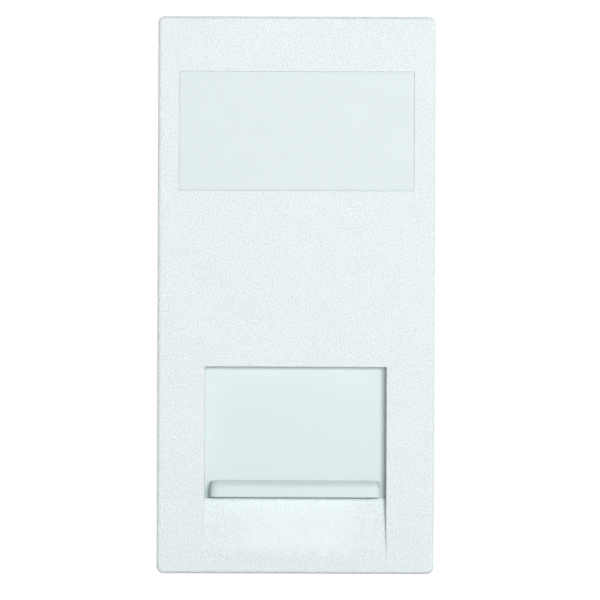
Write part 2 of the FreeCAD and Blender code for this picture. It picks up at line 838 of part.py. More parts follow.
def make_contact_retainer():
    piece = Piece("contact_retainer")
    width = S.retainer_width - 2 * S.push_fit
    piece.block(about(0, width), (retainer_front + S.push_fit, throat_end), (contact_top, throat_floor))
    keep("contact_retainer", piece.body)


def make_circuit_board():
    piece = Piece("circuit_board")
    thickness = board_front, board_back
    across, up = about(0, 2 * board_half_width), about(0, 2 * board_half_height)
    piece.block(across, thickness, up)
    clearance = 2 * S.hole_clearance
    piece.bores(bosses, S.screw_hole_diameter, thickness)
    piece.bores(jack_pegs, S.jack_peg_diameter + S.hole_clearance, thickness, draw_octagon)
    tails = [(place, contact_run) for place in contact_places]
    piece.bores(tails, S.contact_width + clearance, thickness, draw_octagon)
    piece.bores(terminal_places, S.blade_tail_width + S.hole_clearance, thickness, draw_octagon)
    for spacing, height, lead in (
        (S.capacitor_lead_spacing, capacitor_middle, S.capacitor_lead_diameter),
        (S.arrester_lead_spacing, arrester_middle, S.arrester_lead_diameter),
        (S.resistor_lead_spacing, resistor_middle, S.resistor_lead_diameter),
    ):
        places = [(side * spacing / 2, height) for side in (-1, 1)]
        piece.bores(places, lead + S.hole_clearance, thickness, draw_octagon)
    keep("circuit_board", piece.body)


def make_terminal_block(label, side):
    """Three ways in a row, each with a wire slot across it and a pocket for its blade."""
    piece = Piece(label)
    centre = side * S.terminal_spacing / 2
    across = about(centre, S.terminal_block_width)
    top = board_back + S.terminal_block_depth
    piece.block(across, (board_back, top), about(terminal_middle, S.terminal_block_length))

    slots = []
    for place in terminal_places[:3]:
        wide, narrow = about(place[1], S.wire_slot_mouth), about(place[1], S.wire_slot_width)
        throat, floor = top - S.wire_slot_lead_in, top - S.wire_slot_depth
        slots.append([
            (top, wide[0]),
            (throat, narrow[0]),
            (floor, narrow[0]),
            (floor, narrow[1]),
            (throat, narrow[1]),
            (top, wide[1]),
        ])
    piece.cut_prism(across, *slots)

    gaps = []
    for step in (-0.5, 0.5):
        gap = about(terminal_middle + S.terminal_pitch * step, S.tower_gap_width)
        floor = top - S.tower_gap_depth
        gaps.append([(top, gap[0]), (floor, gap[0]), (floor, gap[1]), (top, gap[1])])
    piece.cut_prism(across, *gaps)

    along, up = turned(S.blade_width / 2 + S.blade_clearance, S.blade_angle)
    thick_up, thick_along = turned(S.blade_thickness / 2 + S.blade_clearance, S.blade_angle)
    pockets = []
    for place in terminal_places[:3]:
        corners = [(1, 1), (1, -1), (-1, -1), (-1, 1)]
        pockets.append([
            (centre + end * along + face * thick_along, place[1] - end * up + face * thick_up)
            for end, face in corners
        ])
    piece.cut_columns((board_back, board_back + S.blade_length + S.blade_clearance), *pockets)
    keep(label, piece.body)


def make_terminal_blade(number, place):
    """A forked blade, drawn flat and then turned to stand aslant across its wire slot."""
    piece = Piece(f"terminal_blade_{number}")
    tail, shoulder = S.blade_tail_width / 2, S.blade_width / 2
    fork, mouth = S.blade_fork_width / 2, S.blade_fork_mouth / 2
    top = board_back + S.blade_length
    right = [
        (tail, board_front - S.lead_reach),
        (tail, board_back),
        (shoulder, board_back),
        (shoulder, top - S.blade_shoulder),
        (shoulder - S.blade_shoulder, top),
        (mouth, top),
        (fork, top - S.blade_shoulder),
        (fork, top - S.blade_fork_depth),
    ]
    left = [(-across, up) for across, up in reversed(right)]
    sketch = piece.sketch("level", -S.blade_thickness / 2)
    draw_polygon(sketch, right + left)
    piece.feature("Pad", sketch, S.blade_thickness)
    piece.place(place[0], 0, place[1], S.blade_angle)
    keep(f"terminal_blade_{number}", piece.body)


def make_bell_capacitor():
    piece = Piece("bell_capacitor")
    up = about(capacitor_middle, S.capacitor_height)
    cap_front = board_front - S.capacitor_depth
    piece.block(about(0, S.capacitor_width), (cap_front, board_front), up, S.capacitor_edge_radius)
    piece.chamfer(S.capacitor_edge_chamfer, lambda box: at(cap_front, box.YMin, box.YMax))
    keep("bell_capacitor", piece.body)

    lead = Piece("capacitor_lead")
    place = S.capacitor_lead_spacing / 2, capacitor_middle
    lead.posts([place], S.capacitor_lead_diameter, (board_front, lead_end), draw_octagon)
    pair("bell_capacitor_leads", lead)


def make_axial_leads(label, start, spacing, across_board, height, diameter):
    """Two leads that run out along X from a component's ends and turn down through the board."""
    piece = Piece(label + "_right")
    section = piece.sketch("side", start)
    draw_octagon(section, (across_board, height), diameter)
    end = spacing / 2
    path = piece.sketch("level", height)
    bend = (end - diameter, across_board), (end, across_board + diameter)
    draw_run(path, [(start, across_board), *bend, (end, lead_end)])
    piece.pipe(path, section)
    pair(label, piece)


def make_cylinder(name, diameter, start, length, y, z):
    """A round bar along X."""
    bar = doc.addObject("Part::Cylinder", name)
    bar.setExpression("Radius", (diameter / 2).text)
    bar.setExpression("Height", length.text)
    bar.setExpression("Placement.Rotation.Axis.x", "0")
    bar.setExpression("Placement.Rotation.Axis.y", "1")
    bar.setExpression("Placement.Rotation.Axis.z", "0")
    bar.setExpression("Placement.Rotation.Angle", "90")
    for axis, size in zip("xyz", (start, y, z)):
        bar.setExpression(f"Placement.Base.{axis}", tied(size).text)
    return bar


def make_surge_arrester():
    axis = board_front - S.component_standoff - S.arrester_cap_diameter / 2
    half = S.arrester_length / 2
    tube_half = half - S.arrester_cap_thickness
    place = axis, arrester_middle
    tube = make_cylinder("surge_arrester", S.arrester_diameter, -tube_half, 2 * tube_half, *place)
    caps = doc.addObject("Part::Compound", "surge_arrester_caps")
    caps.Links = [
        make_cylinder("cap_left", S.arrester_cap_diameter, -half, S.arrester_cap_thickness, *place),
        make_cylinder("cap_right", S.arrester_cap_diameter, tube_half, S.arrester_cap_thickness, *place),
    ]
    doc.recompute()
    keep("surge_arrester", tube)
    keep("surge_arrester_caps", caps)
    make_axial_leads("surge_arrester_leads", half, S.arrester_lead_spacing, *place, S.arrester_lead_diameter)


def make_test_resistor():
    axis = board_front - S.component_standoff - S.resistor_end_diameter / 2
    half = S.resistor_length / 2
    end, middle = S.resistor_end_diameter / 2, S.resistor_diameter / 2
    step = end - middle
    right = [
        (half, tied(0)),
        (half, end),
        (half - S.resistor_end_length, end),
        (half - S.resistor_end_length - step, middle),
    ]
    left = [(-along, out) for along, out in reversed(right)]
    piece = Piece("test_resistor")
    piece.revolve("level", "H_Axis", right + left)
    piece.place(0, axis, resistor_middle)
    keep("test_resistor", piece.body)
    leads = S.resistor_lead_spacing, axis, resistor_middle, S.resistor_lead_diameter
    make_axial_leads("test_resistor_leads", half, *leads)


def make_board_screws():
    piece = Piece("board_screw")
    core, head = S.screw_core_diameter / 2, S.screw_head_diameter / 2
    tip, head_top = board_back - S.screw_length, board_back + S.screw_head_height
    half_section = [
        (tied(0), tip),
        (core, tip),
        (core, board_back),
        (head, board_back),
        (head, head_top),
        (tied(0), head_top),
    ]
    piece.revolve("level", "V_Axis", half_section)
    recess = head_top - S.screw_recess_depth, head_top
    arm, width = about(0, S.screw_recess_length), about(0, S.screw_recess_width)
    piece.cut(arm, recess, width)
    piece.cut(width, recess, arm)
    piece.place(S.boss_spacing / 2, 0, boss_middle)
    pair("board_screws", piece)


make_face_moulding()
make_label_plate()
make_shutter()
make_shutter_spring()
make_jack_housing()
for number, across in enumerate(contact_places, 1):
    make_contact(number, across)
make_contact_retainer()
make_circuit_board()
make_terminal_block("terminal_block_left", -1)
make_terminal_block("terminal_block_right", 1)
for number, place in enumerate(terminal_places, 1):
    make_terminal_blade(number, place)
make_bell_capacitor()
make_surge_arrester()
make_test_resistor()
make_board_screws()

doc.recompute()
failed = [item.Label for item in doc.Objects if {"Invalid", "Error"} & set(item.State)]
failed += [item.Label for item in kept if item.Shape.isNull() or not item.Shape.isValid()]
if failed:
    raise RuntimeError(f"failed: {failed}")

os.makedirs("parts", exist_ok=True)
for item in kept:
    item.Shape.exportStep(os.path.join("parts", item.Label + ".step"))
print(f"{len(kept)} sub-parts written")
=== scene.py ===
"""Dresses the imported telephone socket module: materials, fine pieces, light and camera.

Lengths are in metres in the CAD frame: X right, Y back into the wall, Z up.
"""
import math

import bmesh
import bpy
from mathutils import Matrix, Vector


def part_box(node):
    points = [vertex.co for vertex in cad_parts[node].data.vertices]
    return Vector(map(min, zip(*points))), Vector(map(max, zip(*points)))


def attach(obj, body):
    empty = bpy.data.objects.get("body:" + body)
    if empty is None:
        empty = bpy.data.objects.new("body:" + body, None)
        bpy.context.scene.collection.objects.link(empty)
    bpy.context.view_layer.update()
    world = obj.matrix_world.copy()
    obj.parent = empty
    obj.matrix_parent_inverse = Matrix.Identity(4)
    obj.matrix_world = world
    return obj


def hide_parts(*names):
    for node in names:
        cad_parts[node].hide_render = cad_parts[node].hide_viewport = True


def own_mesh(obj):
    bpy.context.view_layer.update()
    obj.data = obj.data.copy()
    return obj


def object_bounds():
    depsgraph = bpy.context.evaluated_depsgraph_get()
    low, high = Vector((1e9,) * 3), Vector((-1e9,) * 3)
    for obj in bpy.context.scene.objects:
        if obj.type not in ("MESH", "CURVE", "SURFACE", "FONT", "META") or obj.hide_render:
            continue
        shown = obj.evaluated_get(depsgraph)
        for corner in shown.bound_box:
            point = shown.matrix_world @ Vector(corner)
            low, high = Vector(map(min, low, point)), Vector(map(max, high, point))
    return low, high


MM = 0.001

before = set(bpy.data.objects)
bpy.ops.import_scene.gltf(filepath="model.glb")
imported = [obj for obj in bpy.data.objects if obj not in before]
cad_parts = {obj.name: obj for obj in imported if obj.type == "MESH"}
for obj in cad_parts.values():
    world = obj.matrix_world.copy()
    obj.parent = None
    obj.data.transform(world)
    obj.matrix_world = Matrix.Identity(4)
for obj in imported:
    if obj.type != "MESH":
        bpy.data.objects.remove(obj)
cad_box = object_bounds()


# Materials

WHITE = (0.882, 0.951, 0.961)
LABEL_WHITE = (0.686, 0.764, 0.77)
SHUTTER_WHITE = (0.685, 0.77, 0.77)
IVORY = (0.76, 0.75, 0.69)
BLACK = (0.018, 0.018, 0.02)
BOARD_GREEN = (0.012, 0.13, 0.05)
TRACK_GREEN = (0.03, 0.22, 0.08)
TIN = (0.74, 0.73, 0.70)
GOLD = (0.83, 0.62, 0.26)
STEEL = (0.60, 0.60, 0.59)
ZINC = (0.66, 0.67, 0.68)
CAPACITOR_YELLOW = (0.72, 0.42, 0.04)
CERAMIC = (0.78, 0.72, 0.68)
RESISTOR_BEIGE = (0.55, 0.40, 0.22)
BAND_YELLOW = (0.75, 0.55, 0.03)
BAND_VIOLET = (0.16, 0.05, 0.28)
BAND_GOLD = (0.50, 0.34, 0.10)
WHITE_LIGHT = (1, 1, 1, 1)

EDGE_SAMPLES = 6
FINE_DETAIL = 3.0
CLOUD_SIZE = 2.5 * MM
GLOSS_SIZE, GLOSS_RANGE = 0.6 * MM, 0.04
PIT_SHADE = 0.5
TARNISH_SIZE, TARNISH_SHADES = 0.8 * MM, (0.86, 1.04)
MARK_SIZE, MARKS_GLOSSIER, MARKS_DULLER = 0.05 * MM, 0.08, 0.1

RAMP_WIDTH = 16.35 * MM
RAMP_TOP, RAMP_BOTTOM = -18.29 * MM, -23.8 * MM
# Painted light on the finger ramp: past these depths and within these widths the ramp loses dark
# speckle and looks lighter
RAMP_STARTS, RAMP_FULL = 0.02 * MM, 0.15 * MM
RAMP_PAINTED_LIGHT_FULL, RAMP_PAINTED_LIGHT_GONE = 0.2 * RAMP_WIDTH, 0.5 * RAMP_WIDTH
RAMP_PAINTED_LIGHT_SPECKLE = 0.35


class Nodes:
    """A node tree with short ways to add to it."""

    def __init__(self, tree):
        self.nodes, self.links = tree.nodes, tree.links

    def fill(self, entry, value):
        """Link a socket to an input, or set the input to a plain value."""
        if isinstance(value, bpy.types.NodeSocket):
            self.links.new(value, entry)
        else:
            entry.default_value = value

    def add(self, kind, inputs=(), **settings):
        node = self.nodes.new(kind)
        for key, value in settings.items():
            setattr(node, key, value)
        for socket, value in dict(inputs).items():
            self.fill(node.inputs[socket], value)
        return node

    def work_out(self, operation, *values):
        return self.add("ShaderNodeMath", dict(enumerate(values)), operation=operation).outputs[0]

    def work_out_vector(self, operation, inputs):
        return self.add("ShaderNodeVectorMath", inputs, operation=operation).outputs[0]

    def times(self, first, second):
        return self.work_out("MULTIPLY", first, second)

    def spread(self, value, low, high, start=0.3, stop=0.7):
        """Bring a value from its range, by default that of most noise, to one from low to high."""
        inputs = {"Value": value, "From Min": start, "From Max": stop}
        inputs.update({"To Min": low, "To Max": high})
        return self.add("ShaderNodeMapRange", inputs).outputs[0]

    def seen_directly(self):
        """1 for rays from the camera, in reflections and through clear things, 0 for others."""
        path = self.add("ShaderNodeLightPath").outputs
        seen = path["Is Camera Ray"]
        for kind in ("Is Glossy Ray", "Is Transmission Ray"):
            seen = self.work_out("MAXIMUM", seen, path[kind])
        return seen


class Surface(Nodes):
    """A Principled material whose detail comes from object-space textures."""

    def __init__(self, name, **values):
        self.material = bpy.data.materials.new(name)
        self.material.use_nodes = True
        super().__init__(self.material.node_tree)
        self.shader = self.nodes["Principled BSDF"]
        self.place = self.add("ShaderNodeTexCoord").outputs["Object"]
        self.normal = None
        for socket, value in values.items():
            self.shader.inputs[socket.replace("_", " ")].default_value = value

    def feed(self, socket, value):
        self.links.new(value, self.shader.inputs[socket])

    def noise(self, size, detail=2.0, stretch=(1, 1, 1)):
        """Noise with blobs of one size, drawn out along an axis where stretch is above 1."""
        scale = [1 / (size * along) for along in stretch]
        place = self.add("ShaderNodeMapping", {"Vector": self.place, "Scale": scale}).outputs[0]
        inputs = {"Vector": place, "Scale": 1.0, "Detail": detail}
        return self.add("ShaderNodeTexNoise", inputs).outputs["Fac"]

    def mix(self, factor, first, second):
        node = self.add("ShaderNodeMix", data_type="RGBA")
        values = {"Factor_Float": factor, "A_Color": first, "B_Color": second}
        for entry in node.inputs:
            if entry.identifier in values:
                self.fill(entry, values[entry.identifier])
        return next(o for o in node.outputs if o.identifier == "Result_Color")

    def along(self, axis):
        return self.add("ShaderNodeSeparateXYZ", {"Vector": self.place}).outputs[axis]

    def band(self, value, centre, width):
        """1 inside a band about a centre and 0 outside it."""
        return self.work_out("COMPARE", value, centre, width / 2)

    def round_edges(self, radius, share):
        """Shade edges as if rounded: fully at a share of 1, and as a gentler slope below that."""
        inputs = {"Radius": radius}
        rounded = self.add("ShaderNodeBevel", inputs, samples=EDGE_SAMPLES).outputs[0]
        flat = self.add("ShaderNodeNewGeometry").outputs["Normal"]
        turn = self.work_out_vector("SUBTRACT", {0: rounded, 1: flat})
        part = self.work_out_vector("SCALE", {0: turn, "Scale": share})
        both = self.work_out_vector("ADD", {0: flat, 1: part})
        self.normal = self.work_out_vector("NORMALIZE", {0: both})
        self.feed("Normal", self.normal)

    def bump(self, height, depth):
        inputs = {"Height": height, "Distance": depth, "Strength": 1.0}
        if self.normal is not None:
            inputs["Normal"] = self.normal
        self.normal = self.add("ShaderNodeBump", inputs).outputs[0]
        self.feed("Normal", self.normal)


def shade(colour, share):
    return (*[min(1.0, part * share) for part in colour], 1.0)


def moulded(
    name, colour, roughness, grain, grain_depth,
    mottle=0.02, edge=(0.1 * MM, 1.0), speckle=0.0, painted_light=None, **values,
):
    """Moulded plastic: slightly cloudy colour, uneven gloss, soft edges and a fine grain."""
    made = Surface(name, **values)
    made.round_edges(*edge)
    cloud = made.noise(CLOUD_SIZE, FINE_DETAIL)
    pattern = made.noise(grain, FINE_DETAIL)
    tone = made.mix(cloud, shade(colour, 1 - mottle), shade(colour, 1 + mottle))
    if speckle:
        pits = made.spread(pattern, speckle, 0.0)
        # Painted light: fewer dark pits where the mask is, so that area looks lighter
        if painted_light:
            pits = made.times(pits, painted_light(made))
        tone = made.mix(pits, tone, shade(colour, PIT_SHADE))
    made.feed("Base Color", tone)
    gloss = made.noise(GLOSS_SIZE)
    made.feed("Roughness", made.spread(gloss, roughness - GLOSS_RANGE, roughness + GLOSS_RANGE))
    made.bump(pattern, grain_depth)
    return made.material


def plated(name, colour, roughness, drawn=(1, 1, 1), depth=0.001 * MM):
    """Plated metal with fine marks drawn out along its length and faint tarnish."""
    made = Surface(name, Metallic=1.0)
    tarnish = made.spread(made.noise(TARNISH_SIZE, FINE_DETAIL), 0.0, 1.0)
    dark, light = (shade(colour, share) for share in TARNISH_SHADES)
    made.feed("Base Color", made.mix(tarnish, dark, light))
    marks = made.noise(MARK_SIZE, stretch=drawn)
    gloss = made.spread(marks, roughness - MARKS_GLOSSIER, roughness + MARKS_DULLER)
    made.feed("Roughness", gloss)
    made.bump(marks, depth)
    return made.material


def speckle_left(made):
    """How much of the speckle is left: less on the finger ramp, as painted light that makes the
    ramp look lighter.
    """
    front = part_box("face_moulding")[0].y
    sunk = made.spread(made.along("Y"), 0.0, 1.0, front + RAMP_STARTS, front + RAMP_FULL)
    out = made.work_out("ABSOLUTE", made.along("X"))
    across = made.spread(out, 1.0, 0.0, RAMP_PAINTED_LIGHT_FULL, RAMP_PAINTED_LIGHT_GONE)
    up = made.band(made.along("Z"), (RAMP_TOP + RAMP_BOTTOM) / 2, RAMP_TOP - RAMP_BOTTOM)
    # Painted light covers the sunk ramp and fades out towards its sides
    painted_light_area = made.times(made.times(sunk, across), up)
    return made.spread(painted_light_area, 1.0, RAMP_PAINTED_LIGHT_SPECKLE, 0.0, 1.0)


def smooth_white(name, colour, roughness, edge):
    return moulded(
        name, colour, roughness, grain=0.9 * MM, grain_depth=0.004 * MM, mottle=0.012,
        edge=edge, Specular_IOR_Level=0.3,
    )


def board_mask(name, colour):
    """Glossy solder mask over a woven laminate that just shows through."""
    weave, weave_depth, weave_shows = 0.5 * MM, 0.004 * MM, 0.35
    dark, light, thread_shade = 0.85, 1.15, 1.5
    cloud_size, gloss_size, gloss = 1.5 * MM, 0.3 * MM, (0.25, 0.38)
    made = Surface(name, Coat_Weight=0.3, Coat_Roughness=0.15)
    across, up = (
        made.work_out("SINE", made.times(made.along(axis), math.tau / weave)) for axis in ("X", "Z")
    )
    cloth = made.times(across, up)
    cloud = made.noise(cloud_size, FINE_DETAIL)
    tone = made.mix(cloud, shade(colour, dark), shade(colour, light))
    thread = made.spread(cloth, 0.0, weave_shows, -1.0, 1.0)
    made.feed("Base Color", made.mix(thread, tone, shade(colour, thread_shade)))
    made.feed("Roughness", made.spread(made.noise(gloss_size), *gloss))
    made.bump(cloth, weave_depth)
    return made.material


def banded_resistor():
    """Lacquer with the four colour bands of 470 kilohms, five per cent."""
    low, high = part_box("test_resistor")
    middle, length = (low.x + high.x) / 2, high.x - low.x
    bands = ((-0.38, BAND_YELLOW), (-0.16, BAND_VIOLET), (0.0, BAND_YELLOW), (0.38, BAND_GOLD))
    band_width = 0.09 * length
    cloud_size, dark, light = 0.7 * MM, 0.92, 1.08
    gloss_size, gloss = 0.3 * MM, (0.3, 0.42)
    ripple, ripple_depth = 0.25 * MM, 0.006 * MM
    made = Surface("resistor_coating", Coat_Weight=0.4, Coat_Roughness=0.2)
    cloud = made.noise(cloud_size)
    colour = made.mix(cloud, shade(RESISTOR_BEIGE, dark), shade(RESISTOR_BEIGE, light))
    for step, paint in bands:
        stripe = made.band(made.along("X"), middle + step * length, band_width)
        colour = made.mix(stripe, colour, shade(paint, 1.0))
    made.feed("Base Color", colour)
    made.feed("Roughness", made.spread(made.noise(gloss_size), *gloss))
    made.bump(made.noise(ripple), ripple_depth)
    return made.material


# The face gets painted light on its finger ramp: less speckle there, so the ramp looks lighter
white = moulded(
    "white_moulding", WHITE, roughness=0.62, grain=0.16 * MM, grain_depth=0.1 * MM, mottle=0.03,
    edge=(0.06 * MM, 1.0), speckle=0.42, painted_light=speckle_left, Specular_IOR_Level=0.15,
)
ivory = moulded(
    "terminal_plastic", IVORY, roughness=0.45, grain=0.3 * MM, grain_depth=0.006 * MM, mottle=0.025,
)
black = moulded(
    "jack_plastic", BLACK, roughness=0.5, grain=0.15 * MM, grain_depth=0.01 * MM, mottle=0.2,
)
yellow = moulded(
    "capacitor_case", CAPACITOR_YELLOW, roughness=0.35, grain=0.4 * MM, grain_depth=0.006 * MM,
    mottle=0.06,
)
ceramic = moulded(
    "arrester_ceramic", CERAMIC, roughness=0.33, grain=0.12 * MM, grain_depth=0.004 * MM,
    mottle=0.03, Coat_Weight=0.2,
)
tin_sheet = plated("blade_metal", TIN, roughness=0.32, drawn=(1, 12, 1))
tin_wire = plated("lead_metal", TIN, roughness=0.3, drawn=(8, 8, 1))
tin_cap = plated("arrester_metal", TIN, roughness=0.28, drawn=(1, 6, 6))
gold = plated("contact_metal", GOLD, roughness=0.26, drawn=(1, 12, 1))
spring_steel = plated("spring_steel", STEEL, roughness=0.3, drawn=(6, 6, 1))
zinc = plated("screw_steel", ZINC, roughness=0.36)
solder = plated("solder", TIN, roughness=0.22, depth=0.004 * MM)
mask = board_mask("board_laminate", BOARD_GREEN)
track_mask = board_mask("board_track", TRACK_GREEN)

FINISHES = {
    "face_moulding": white,
    "label_plate": smooth_white("label_plastic", LABEL_WHITE, 0.5, edge=(0.5 * MM, 0.35)),
    "shutter": smooth_white("shutter_plastic", SHUTTER_WHITE, 0.32, edge=(0.1 * MM, 1.0)),
    "jack_housing": black,
    "contact_retainer": black,
    "circuit_board": mask,
    "terminal_block_left": ivory,
    "terminal_block_right": ivory,
    "bell_capacitor": yellow,
    "bell_capacitor_leads": tin_wire,
    "surge_arrester": ceramic,
    "surge_arrester_caps": tin_cap,
    "surge_arrester_leads": tin_wire,
    "test_resistor": banded_resistor(),
    "test_resistor_leads": tin_wire,
    "shutter_spring": spring_steel,
    "board_screws": zinc,
    **{f"line_contact_{number}": gold for number in range(1, 7)},
    **{f"terminal_blade_{number}": tin_sheet for number in range(1, 7)},
}
for node, finish in FINISHES.items():
    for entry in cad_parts[node].material_slots:
        entry.material = finish


# Pieces that the solids leave out


def lead_places(node, diameter):
    """Where a component's two leads pass the board, from the outer sides of the pair."""
    low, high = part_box(node)
    height = (low.z + high.z) / 2
    return [(low.x + diameter / 2, height), (high.x - diameter / 2, height)]


def centre_of(node):
    low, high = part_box(node)
    return (low.x + high.x) / 2, (low.z + high.z) / 2


board_low, board_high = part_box("circuit_board")
BOARD_BACK, BOARD_FRONT = board_high.y, board_low.y
COPPER = 0.035 * MM
PEG_SPACING = 4.8 * MM
PEG_HEIGHT = -12.96 * MM
LEAD, THIN_LEAD, HALF_TAIL = 0.8 * MM, 0.6 * MM, 0.175 * MM
CAPACITOR_LEADS = lead_places("bell_capacitor_leads", LEAD)
ARRESTER_LEADS = lead_places("surge_arrester_leads", LEAD)
RESISTOR_LEADS = lead_places("test_resistor_leads", THIN_LEAD)
BLADES = [centre_of(f"terminal_blade_{number}") for number in range(1, 7)]
TAIL_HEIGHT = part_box("line_contact_1")[0].z + HALF_TAIL
TAILS = [(centre_of(f"line_contact_{number}")[0], TAIL_HEIGHT) for number in range(1, 7)]

# Places of holes that are soldered on the board's back, radius of the solder's foot and of the pad
HOLES = (
    (TAILS, 0.52 * MM, 0.56 * MM),
    (CAPACITOR_LEADS + ARRESTER_LEADS, 1.0 * MM, 1.2 * MM),
    (RESISTOR_LEADS, 0.85 * MM, 1.02 * MM),
)
BLADE_FOOT = 0.62 * MM


def show(name, data, material, place=None):
    """Put a mesh or text in the scene as a piece that rides on the module."""
    piece = bpy.data.objects.new(name, data)
    if place is not None:
        piece.matrix_world = place
    data.materials.append(material)
    bpy.context.scene.collection.objects.link(piece)
    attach(piece, "module")
    return piece


def show_mesh(name, work, material, smooth=True):
    """Turn a finished bmesh into a piece."""
    bmesh.ops.recalc_face_normals(work, faces=work.faces)
    mesh = bpy.data.meshes.new(name)
    work.to_mesh(mesh)
    work.free()
    for face in mesh.polygons:
        face.use_smooth = smooth
    return show(name, mesh, material)


def turns_of(steps):
    return [step * math.tau / steps for step in range(steps)]


def clamped(value):
    """A value kept from 0 to 1."""
    return min(max(value, 0.0), 1.0)


def add_skin(work, rings):
    """Join rings that have the same number of points into a closed skin."""
    loops = [[work.verts.new(point) for point in ring] for ring in rings]
    count = len(loops[0])
    for near, far in zip(loops, loops[1:]):
        for step in range(count):
            after = (step + 1) % count
            work.faces.new((near[step], near[after], far[after], far[step]))
    work.faces.new(loops[0])
    work.faces.new(loops[-1])


def add_lathe(work, profile, centre, steps=28):
    """Turn a profile of (radius, y) about a line along Y through a centre of (x, z)."""
    x, z = centre
    add_skin(work, [
        [(x + radius * math.cos(turn), y, z + radius * math.sin(turn)) for turn in turns_of(steps)]
        for radius, y in profile
    ])


def add_tube(work, points, radius, sides=12):
    """A round wire through the points."""
    rings = []
    for index, point in enumerate(points):
        ahead = points[min(index + 1, len(points) - 1)] - points[max(index - 1, 0)]
        across = ahead.cross(Vector((0, 0, 1))).normalized()
        up = across.cross(ahead).normalized()
        rings.append([
            point + radius * (math.cos(turn) * across + math.sin(turn) * up)
            for turn in turns_of(sides)
        ])
    add_skin(work, rings)


def add_ribbon(work, points, width, low, high):
    """A flat strip along points of (x, z), mitred at its turns, from one level of Y to another."""
    rings = []
    for index, point in enumerate(points):
        before = (point - points[index - 1]).normalized() if index else None
        after = (points[index + 1] - point).normalized() if index + 1 < len(points) else None
        along = ((before or after) + (after or before)).normalized()
        across = Vector((-along.y, along.x))
        reach = width / 2 / along.dot(after or before)
        left, right = point + across * reach, point - across * reach
        rings.append([
            (left.x, low, left.y), (left.x, high, left.y),
            (right.x, high, right.y), (right.x, low, right.y),
        ])
    add_skin(work, rings)


def make_spring():
    """A coil with closed end turns, in the place of the plain coil of the solids."""
    wire, turns, closed, steps = 0.3 * MM, 9, 1, 36
    low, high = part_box("shutter_spring")
    radius = (high.x - low.x - wire) / 2
    centre = (low + high) / 2
    bottom, top = low.z + wire / 2, high.z - wire / 2
    points = []
    for step in range(turns * steps + 1):
        turn = step / steps
        lower = wire * min(turn, closed)
        share = clamped((turn - closed) / (turns - 2 * closed))
        middle = (top - bottom - 2 * wire * closed) * share
        upper = wire * max(0.0, turn - (turns - closed))
        angle = turn * math.tau
        points.append(Vector((
            centre.x + radius * math.cos(angle),
            centre.y + radius * math.sin(angle),
            bottom + lower + middle + upper,
        )))
    work = bmesh.new()
    add_tube(work, points, wire / 2)
    spring = show_mesh("return_spring", work, spring_steel)
    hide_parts("shutter_spring")
    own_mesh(spring)


def make_solder():
    """Fillets of solder that climb each lead: on the board's back, and in front for the blades."""
    height, curve, steps = 1.04 * MM, 2.4, 10
    neck_share, tip_share, tip_rise = 0.36, 0.6, 1.04
    joints = [(place, foot, BOARD_BACK, 1) for places, foot, _ in HOLES for place in places]
    joints += [(place, BLADE_FOOT, BOARD_FRONT, -1) for place in BLADES]
    work = bmesh.new()
    for place, foot, level, way in joints:
        neck = neck_share * foot
        profile = []
        for step in range(steps + 1):
            share = step / steps
            out = neck + (foot - neck) * (1 - share) ** curve
            profile.append((out, level + way * height * share))
        profile.append((neck * tip_share, level + way * height * tip_rise))
        add_lathe(work, profile, place)
    show_mesh("solder_joints", work, solder)


def make_tracks():
    """Copper tracks under the solder mask on the board's back, laid out in millimetres."""
    wire_width, line_width, link_width = 0.5, 0.9, 0.7
    lanes, tail_length, corner = (3.95, 3.3, 0.7), 1.0, 0.5
    line_out, line_in, line_top = 4.1, 2.4, 12.0
    line_low, line_high = 0.7, 2.4
    link_back, link_down, link_up = 2.0, 3.0, 1.4
    under_block = 0.05
    thinner = 0.02

    def in_mm(places):
        return [(x * (1 / MM), z * (1 / MM)) for x, z in places]

    tails, arrester, capacitor, resistor = (
        in_mm(places) for places in (TAILS, ARRESTER_LEADS, CAPACITOR_LEADS, RESISTOR_LEADS)
    )
    rows = [z for _, z in in_mm(BLADES[:3])]
    left_block, right_block = (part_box(f"terminal_block_{side}") for side in ("left", "right"))
    inner_left = left_block[1].x * (1 / MM) - under_block
    inner_right = right_block[0].x * (1 / MM) + under_block

    runs = []
    for side, order, inner in ((-1, (0, 1, 2), inner_left), (1, (5, 4, 3), inner_right)):
        for tail, row, lane in zip(order, reversed(rows), lanes):
            x, z = tails[tail]
            lane *= side
            runs.append((wire_width, (
                (x, z), (x, z + tail_length), (lane, z + tail_length + abs(lane - x)),
                (lane, row - corner), (lane + side * corner, row), (inner, row),
            )))
    for side, inner, lead in ((-1, inner_left, arrester[0]), (1, inner_right, arrester[1])):
        runs.append((line_width, (
            (inner, rows[0] + line_low), (side * line_out, rows[0] + line_low),
            (side * line_in, rows[0] + line_high), (side * line_in, line_top), lead,
        )))
    near, far = capacitor
    runs.append((line_width, ((-line_in, near[1]), near)))
    runs.append((link_width, (far, (far[0] - link_back, far[1] - link_down), resistor[1])))
    runs.append((link_width, (resistor[0], (-line_in, resistor[0][1] + link_up))))

    # Each run is a little thinner than the one before, so that no two tops share a plane
    work = bmesh.new()
    for number, (width, points) in enumerate(runs):
        points = [Vector((x * MM, z * MM)) for x, z in points]
        top = BOARD_BACK + COPPER * (1 - thinner * number)
        add_ribbon(work, points, width * MM, BOARD_BACK, top)
    show_mesh("board_tracks", work, track_mask, smooth=False)


def make_pads():
    """Tinned pads around the soldered holes on the board's back."""
    rim, middle = 0.6 * COPPER, 0.2 * MM
    edge = BOARD_BACK + COPPER
    work = bmesh.new()
    for places, _, radius in HOLES:
        profile = [
            (radius, BOARD_BACK), (radius, edge), (radius - rim, edge + rim), (middle, edge + rim),
        ]
        for place in places:
            add_lathe(work, profile, place)
    show_mesh("board_pads", work, solder)


